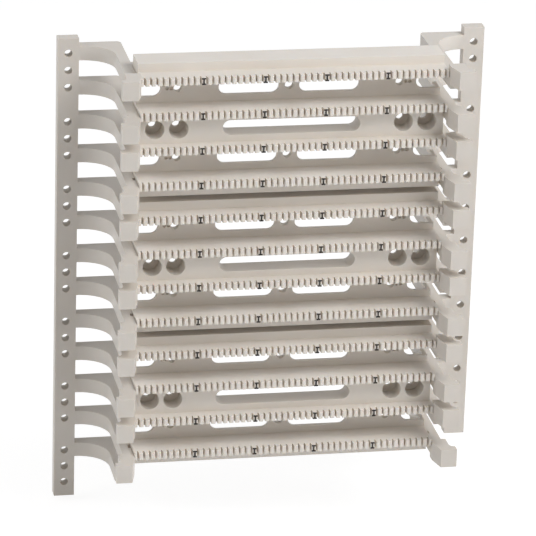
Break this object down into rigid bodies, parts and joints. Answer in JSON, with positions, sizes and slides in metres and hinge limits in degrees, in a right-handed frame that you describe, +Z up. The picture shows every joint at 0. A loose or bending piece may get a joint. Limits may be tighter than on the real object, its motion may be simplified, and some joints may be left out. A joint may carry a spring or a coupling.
{
  "type": "punch down wiring block",
  "caption": "Wall mounted punch down wiring block: toothed plastic bases stacked between two stand-off legs with curved arms and wire fingers",
  "frame": {"origin": "centre of the rectangle of the four outer screw holes that both rails share, on the wall plane", "axes": "+X to the right seen from the front, +Y into the wall, +Z up"},
  "size_m": [0.272, 0.098, 0.3132],
  "materials": {
    "leg_plastic": "off-white moulded, light satin",
    "base_plastic": "off-white moulded, light satin",
    "mark_ink": "flat dark ink"
  },
  "bodies": {
    "root": {"left_leg": "leg_plastic", "right_leg": "leg_plastic", "top_base": "base_plastic", "middle_base": "base_plastic", "bottom_base": "base_plastic", "top_marks": "mark_ink", "middle_marks": "mark_ink", "bottom_marks": "mark_ink"}
  },
  "joints": []
}
